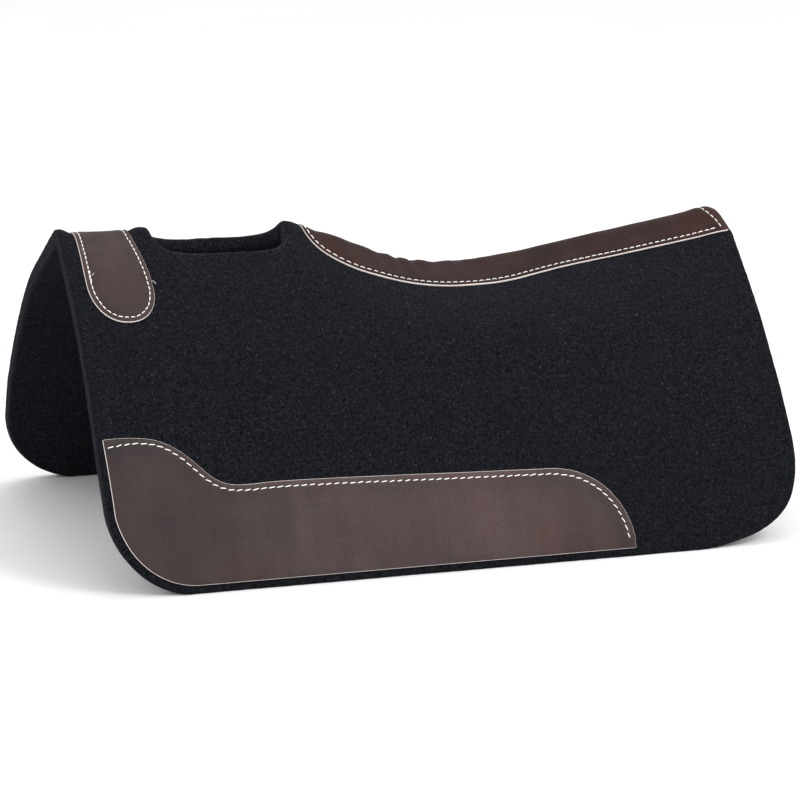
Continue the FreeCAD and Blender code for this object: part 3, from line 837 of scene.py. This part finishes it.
def strip_leather():
    """Ridge strip: a round nose behind the hole, then down the back to the rear edge.

    It puckers across the dip of the back, with a finer ripple over the puckers.
    """
    t = np.concatenate([(np.linspace(0, 1, 34) ** 2.0) * 0.15, np.linspace(0.153, 1, 210)])
    share = soft_spacing(60, 0.35) * 2 - 1
    start = STRIP_NOSE + BEVEL
    columns = start + (STRIP_END - start) * t
    s = strip_half_width(columns, BEVEL) * share[:, None]
    x = start + (strip_rear(s) - start) * t
    lines = strip_seams()

    def relief(gx, gs, edge):
        flat = np.stack([gx, gs], -1)
        from_side = np.minimum(*(distance_to_path(flat, line[::8]) for line in lines[:2]))
        from_rear = distance_to_path(flat, lines[2][::6])
        gather = np.exp(-np.abs((gx - 8 * MM) / (62 * MM)) ** 3)
        wave = np.sin(gx / (24 * MM) * 2 * math.pi + 1.2 * np.sin(gx * 75) + 14 * gs)
        crest = np.clip(1.15 - np.abs(gs) / (48 * MM), 0.1, 1)
        pucker = 0.95 * MM * gather * wave * crest
        ripple = 0.35 * MM * gather * np.sin(gx / (7.3 * MM) * 2 * math.pi + 0.8) * (1 - crest * 0.6)
        raised = (seam_relief(from_side) + seam_relief(from_rear, 0.8 * MM)
                  + (pucker + ripple) * np.clip(edge / (9 * MM), 0, 1)
                  + 0.3 * MM * sheet_wobble(gx, gs, 45 * MM, 13))
        # Painted highlight on the margin behind the rear needle line; the rest of the strip has none
        behind = gx > np.interp(gs, lines[2][:, 1], lines[2][:, 0])
        return raised, np.where(behind, painted_seam_shade(from_rear, behind, 1.5), 1.0)
    sheet = leather_sheet("spine_strip_leather", x, s, 1, STRIP, relief)
    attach(sheet, "spine")
    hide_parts("spine_leather")
    return lines


# ---------------------------------------------------------------- stitching
def even_points(path, pitch):
    """Points at an even pitch along a path in (x, s)."""
    run = np.concatenate([[0], np.cumsum(np.linalg.norm(np.diff(path, axis=0), axis=1))])
    count = max(int(round(run[-1] / pitch)), 1)
    at = np.linspace(0, run[-1], count + 1)
    return np.stack([np.interp(at, run, path[:, k]) for k in (0, 1)], -1)


def inset_path(path, inset):
    """The path moved sideways by the inset, to its left in the (x, s) plane."""
    step = np.gradient(path, axis=0)
    step /= np.maximum(np.linalg.norm(step, axis=1, keepdims=True), 1e-9)
    return path + np.stack([-step[:, 1], step[:, 0]], -1) * inset


def tube(points, faces, x, s, lift, side, widths, around=7):
    """Adds a closed tube along (x, s) at a height, flattened a little against the sheet."""
    centres = place(x, s, lift, side)
    outs = place(x, s, lift + MM, side) - centres
    outs /= np.linalg.norm(outs, axis=1, keepdims=True)
    start = len(points)
    ahead = np.gradient(centres, axis=0)
    for centre, width, out, step in zip(centres, widths, outs, ahead):
        across = np.cross(step, out)
        across /= max(np.linalg.norm(across), 1e-12)
        for m in range(around):
            angle = 2 * math.pi * m / around
            points.append(centre + width * (math.cos(angle) * across + 0.8 * math.sin(angle) * out))
    for k in range(len(centres) - 1):
        for m in range(around):
            p, q = start + k * around + m, start + k * around + (m + 1) % around
            faces.append((p, q, q + around, p + around))
    last = start + (len(centres) - 1) * around
    faces.append(tuple(start + m for m in range(around))[::-1])
    faces.append(tuple(last + m for m in range(around)))


NEEDLE_RADIUS, BOBBIN_RADIUS = 0.6 * MM, 0.42 * MM


def stitches(name, paths, side, height, body, node, finish, pitch=8 * MM, share=0.78, slant=0.0,
             under=False, loose=(), seed=1):
    """Rows of stitches: each is a short thread that dips into the leather at both ends.

    Bobbin stitches lie under the felt. Loose thread ends are short curves of (x, s, height) points.
    """
    draw = np.random.default_rng(seed)
    points, faces = [], []
    t = np.linspace(-1, 1, 8)
    radius = BOBBIN_RADIUS if under else NEEDLE_RADIUS
    for path in paths:
        ends = even_points(path, pitch)
        for a, b in zip(ends[:-1], ends[1:]):
            middle = (a + b) / 2 + draw.normal(0, 0.10 * MM, 2)
            half = (b - a) / 2 * share * draw.uniform(0.90, 1.06)
            lean = np.array([-half[1], half[0]]) * (slant + draw.normal(0.0, 0.045))
            spot = middle + (half + lean) * t[:, None]
            arch = 1 - np.abs(t) ** 3
            lift = height + (-1 if under else 1) * radius * (arch * 1.25 - 0.65)
            tube(points, faces, *spot.T, lift, side, radius * (1 - np.abs(t) ** 4 * 0.45))
    for curve in loose:
        curve = np.array(curve) * MM
        knots = np.arange(len(curve)) * 1.0
        fine = np.linspace(0, len(curve) - 1, 9)
        spot = [spline(knots, curve[:, k])(fine) for k in range(3)]
        tube(points, faces, *spot, side, radius * 0.42 * (1 - 0.3 * np.linspace(0, 1, 9)))
    row = mesh_object(name, points, faces, [THREAD if finish == "thread" else DARK_THREAD])
    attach(row, body)
    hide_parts(*node)


# Height of the stitches on the felt's inner face and on the leather
INSIDE = -FELT + 0.15 * MM
ON_LEATHER = LEATHER - 0.35 * MM


def sew_wear(word, side, line):
    """Needle and bobbin stitches of one wear leather."""
    body = word + "_flap"
    stitches(word + "_wear_stitches", [line], side, ON_LEATHER, body, [word + "_wear_thread"],
             "thread", pitch=8.8 * MM, slant=-0.17, seed=21)
    stitches(word + "_wear_bobbin_stitches", [line], side, INSIDE, body,
             [word + "_wear_bobbin_thread"], "bobbin_thread", pitch=8.8 * MM, under=True, seed=22)


def sew_strap():
    """The strap's seam, with a back tack at each shoulder and four loose thread ends."""
    ring = strap_loop(SEAM_INSET)
    front = ring[ring[:, 0] < -345 * MM]
    rows = [ring]
    for sign in (-1, 1):
        tack = front[(front[:, 1] * sign > 62 * MM) & (front[:, 1] * sign < 79 * MM)]
        rows.append(tack + np.array([0.7, 0.0]) * MM)
    tails = [[(-300.5, s, 1.6), (-298.6, s - 1.0, 2.4), (-297.0, s - 2.8, 2.6), (-296.6, s - 4.8, 2.0)]
             for s in (80, -80)]
    tails += [[(-363.0, s, 3.0), (-361.2, s + 1.2, 3.6), (-359.8, s + 3.0, 3.3)] for s in (70, -70)]
    stitches("wither_strap_stitches", rows, 1, ON_LEATHER, "spine", ["wither_strap_thread"],
             "thread", pitch=6.6 * MM, share=0.8, loose=tails, seed=23)
    stitches("wither_strap_bobbin_stitches", [ring], 1, INSIDE, "spine",
             ["wither_strap_bobbin_thread"], "bobbin_thread", pitch=6.6 * MM, under=True, seed=24)


def sew_strip(lines):
    """Needle and bobbin stitches of the spine leather."""
    stitches("spine_stitches", lines, 1, ON_LEATHER, "spine",
             ["spine_leather_thread"], "thread", pitch=7.5 * MM, seed=25)
    stitches("spine_bobbin_stitches", lines, 1, INSIDE, "spine", ["spine_leather_bobbin_thread"],
             "bobbin_thread", pitch=7.5 * MM, under=True, seed=26)


def sew_ridge():
    """The seam that joins the two felt halves, in zigzag under the ridge."""
    for name, front, end, seed in (("bridge_seam", -HALF_LENGTH + 8 * MM, HOLE_FRONT - 8 * MM, 27),
                                   ("spine_seam", HOLE_REAR + 8 * MM, 358 * MM, 28)):
        count = int((end - front) / (5 * MM))
        xs = np.linspace(front, end, count)
        zigzag = np.stack([xs, np.where(np.arange(count) % 2 == 0, -1, 1) * 22 * MM], -1)
        stitches(name + "_stitches", [zigzag[i:i + 2] for i in range(count - 1)], 1, INSIDE, "spine",
                 [name + "_thread"], "bobbin_thread", pitch=1.0, share=0.98, under=True, seed=seed)


# Numbers of loose fibres over each half, round the hole's rim and at the pinch behind the hole
FACE_FIBRES, RIM_FIBRES, PINCH_FIBRES = 1500, 260, 60
FIBRE_RADIUS = 0.07 * MM
CROWN_FOOT, CROWN_RISE = 213 * MM, 125 * MM


def felt_fibres(word, side):
    """Loose wool fibres that stand off the felt, thickest round the relief hole."""
    draw = np.random.default_rng(31 if side < 0 else 32)
    points, faces = [], []
    z = 10 * MM + 320 * MM * draw.uniform(0, 1, FACE_FIBRES)
    x = front_x(z) + (rear_x(z) - front_x(z)) * draw.uniform(0.012, 0.988, FACE_FIBRES)
    crown = place(x, 0.0, 0.0)[:, 2] - z
    on_crown = foot_distance(x) * (1 - (z - CROWN_FOOT) / CROWN_RISE)
    s = np.where(z < CROWN_FOOT, s_at_height(x, z), on_crown)
    hole_x, rim_s = hole_rim(side, draw.uniform(0, math.pi, RIM_FIBRES)).T
    rim_s = rim_s + draw.uniform(0.5, 4.0, RIM_FIBRES) * MM
    rim_path = hole_rim(side, np.linspace(0, math.pi, 61))
    pinch_x = HOLE_REAR + draw.normal(1, 3, PINCH_FIBRES) * MM
    pinch_s = draw.uniform(26, 46, PINCH_FIBRES) * MM
    x, s = np.concatenate([x, hole_x, pinch_x]), np.concatenate([s, rim_s, pinch_s])
    below_crest = np.concatenate([crown > 2 * MM, np.ones(RIM_FIBRES + PINCH_FIBRES, bool)])
    inside = below_crest & (s > 1 * MM)
    for spot_x, spot_s in zip(x[inside], s[inside]):
        heading = draw.uniform(0, 2 * math.pi)
        curl = draw.normal(0, 0.9)
        length = draw.uniform(1.6, 4.6) * MM
        t = np.linspace(0, 1, 4)
        turn = heading + curl * t
        line_x = spot_x + length * t * np.cos(turn)
        line_s = np.abs(spot_s + length * t * np.sin(turn)) + 0.2 * MM
        lift = draw.uniform(0.3, 0.9) * MM * np.sin(math.pi * (0.12 + 0.75 * t)) - 0.05 * MM
        if np.any(line_s < hole_edge(line_x, side) + 0.4 * MM):
            continue
        lift -= rounding(distance_to_path(np.stack([line_x, line_s], -1), rim_path), HOLE_ROUND)
        tube(points, faces, line_x, line_s, lift, side, np.full(len(t), FIBRE_RADIUS), around=3)
    loose = mesh_object(word + "_felt_fibres", points, faces, [FIBRE])
    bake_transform(loose)


for word, side in (("left", -1), ("right", 1)):
    felt_half(word, side)
    felt_fibres(word, side)
    sew_wear(word, side, wear_leather(word, side))
strap_leather()
sew_strap()
sew_strip(strip_leather())
sew_ridge()


# ---------------------------------------------------------------- floor, light and camera
def lamp(name, place_at, aim, power, width):
    """Square area lamp at a place, turned towards a point."""
    light = bpy.data.lights.new(name, "AREA")
    light.energy = power
    light.size = width
    made = bpy.data.objects.new(name, light)
    made.location = place_at
    made.rotation_euler = (Vector(aim) - Vector(place_at)).to_track_quat("-Z", "Y").to_euler()
    bpy.context.scene.collection.objects.link(made)


def studio():
    """White floor under a white sky, with three soft lamps."""
    made, tree, shader = new_material("studio_floor")
    tone = ramp(tree, noise(tree, 3, 2), [(0.3, grey(0.90)), (0.7, grey(0.93))])
    tree.links.new(tone, shader.inputs["Base Color"])
    shader.inputs["Roughness"].default_value = 0.9
    corners = [(-30, -30, 0), (30, -30, 0), (30, 30, 0), (-30, 30, 0)]
    floor = mesh_object("studio_floor_plane", corners, [(0, 1, 2, 3)], [made])
    world = bpy.data.worlds.new("studio")
    world.use_nodes = True
    background = world.node_tree.nodes["Background"]
    background.inputs["Color"].default_value = (1.0, 1.0, 1.0, 1.0)
    background.inputs["Strength"].default_value = 1.0
    bpy.context.scene.world = world
    bpy.context.scene.view_settings.view_transform = "Standard"
    lamp("key_light", (1.5, -2.0, 2.5), (0, 0, 0.15), 40, 1.2)
    lamp("fill_light", (-2.0, -1.8, 1.4), (0, 0, 0.15), 9, 1.8)
    lamp("top_light", (0.2, 0.6, 2.6), (0, 0, 0.2), 18, 1.6)


def camera():
    """Long lens from the front left, a little above the pad and level to within a degree."""
    azimuth, elevation, roll = math.radians(-19.77), math.radians(13.63), math.radians(1.02)
    distance = 4.396
    target = np.array([-9, 0, 199]) * MM
    level = math.cos(elevation)
    back = np.array([math.sin(azimuth) * level, -math.cos(azimuth) * level, math.sin(elevation)])
    right = np.array([math.cos(azimuth), math.sin(azimuth), 0.0])
    up = np.cross(back, right)
    tilted_right = right * math.cos(roll) + up * math.sin(roll)
    tilted_up = up * math.cos(roll) - right * math.sin(roll)
    data = bpy.data.cameras.new("camera")
    data.sensor_width = 36
    data.lens = 181.2312
    data.shift_x = 0.0117
    data.shift_y = -0.0799
    data.clip_end = 60
    made = bpy.data.objects.new("camera", data)
    bpy.context.scene.collection.objects.link(made)
    matrix = np.eye(4)
    matrix[:3, :3] = np.stack([tilted_right, tilted_up, back], 1)
    matrix[:3, 3] = target + back * distance
    made.matrix_world = Matrix(matrix.tolist())
    bpy.context.scene.camera = made


studio()
camera()
